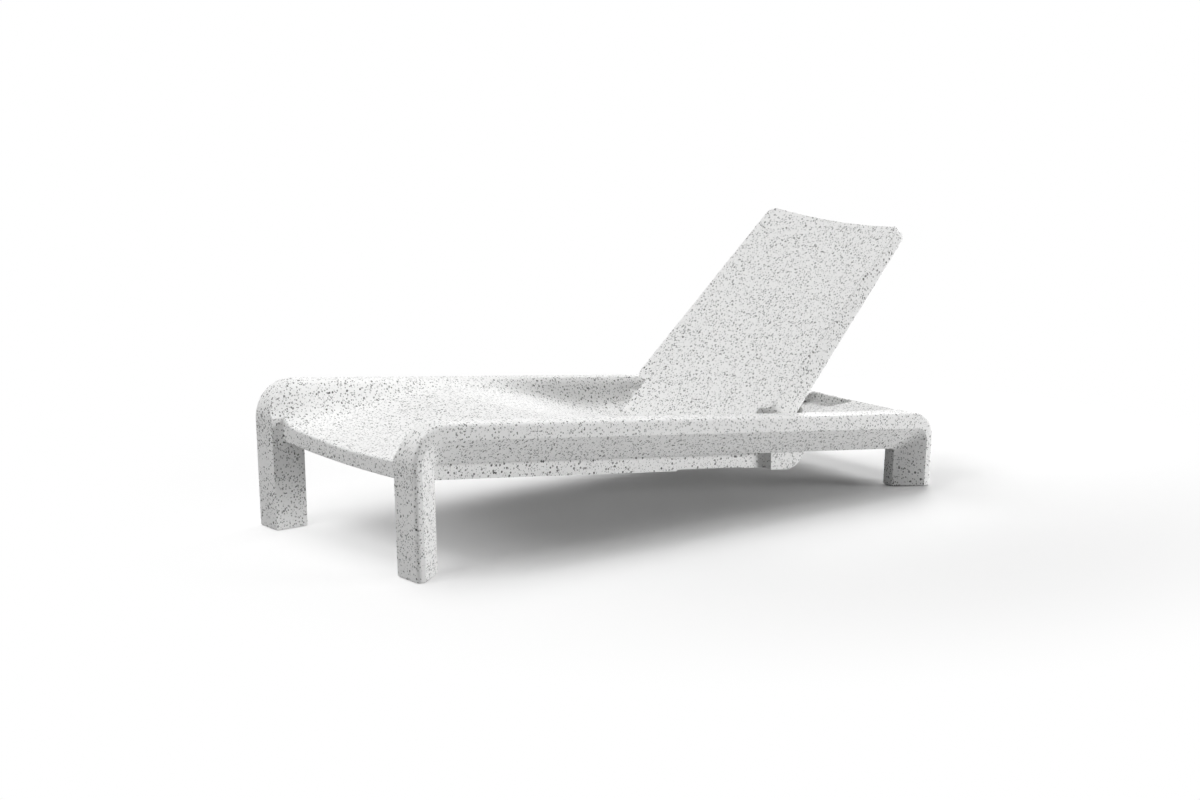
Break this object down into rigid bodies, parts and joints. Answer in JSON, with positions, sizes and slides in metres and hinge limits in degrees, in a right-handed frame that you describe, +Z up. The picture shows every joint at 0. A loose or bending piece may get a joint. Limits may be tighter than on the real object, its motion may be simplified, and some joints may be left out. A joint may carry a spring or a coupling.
{
  "type": "reclining sun lounger",
  "caption": "Low sun lounger in speckled moulded plastic: a scooped seat between raised side rails on four legs, and a hinged backrest held up by a bent steel stay.",
  "frame": {"origin": "middle of the footprint of the base, on the floor", "axes": "+X from the foot end to the head end, +Y to the right hand of a person lying on it, +Z up"},
  "size_m": [1.8498, 0.8, 0.7648],
  "materials": {
    "granite_plastic": "matte, moulded through with grey and black specks",
    "stainless_steel": "brushed",
    "grey_plastic": "matte",
    "white_plastic": "matte",
    "brass": "plain",
    "dark_rubber": "matte",
    "glide_plastic": "matte"
  },
  "bodies": {
    "base": {"base_shell": "granite_plastic", "stay_rack": "grey_plastic", "rack_screws": "stainless_steel", "rack_inserts": "brass", "base_vent_plug": "white_plastic", "hinge_bolt_left": "stainless_steel", "hinge_bolt_right": "stainless_steel", "hinge_insert_left": "brass", "hinge_insert_right": "brass", "foot_end_glide_left": "glide_plastic", "foot_end_glide_right": "glide_plastic", "head_end_glide_left": "glide_plastic", "head_end_glide_right": "glide_plastic"},
    "backrest": {"backrest_shell": "granite_plastic", "hinge_bush_left": "grey_plastic", "hinge_bush_right": "grey_plastic", "stay_saddle_left": "grey_plastic", "stay_saddle_right": "grey_plastic", "saddle_screws": "stainless_steel", "saddle_inserts": "brass", "backrest_bumper_left": "dark_rubber", "backrest_bumper_right": "dark_rubber", "backrest_vent_plug": "white_plastic"},
    "stay": {"support_stay": "stainless_steel"}
  },
  "joints": [
    {"name": "backrest_recline", "type": "hinge", "parent": "base", "child": "backrest", "pos_m": [0.406, 0, 0.178], "axis": [0, -1, 0], "range_deg": [-43, 20]},
    {"name": "stay_fold", "type": "hinge", "parent": "backrest", "child": "stay", "pos_m": [0.5442, 0, 0.36704], "axis": [0, -1, 0], "range_deg": [-40, 86]}
  ],
  "couplings": [
    {"joint": "stay_fold", "follows": "backrest_recline", "ratio": -2}
  ]
}
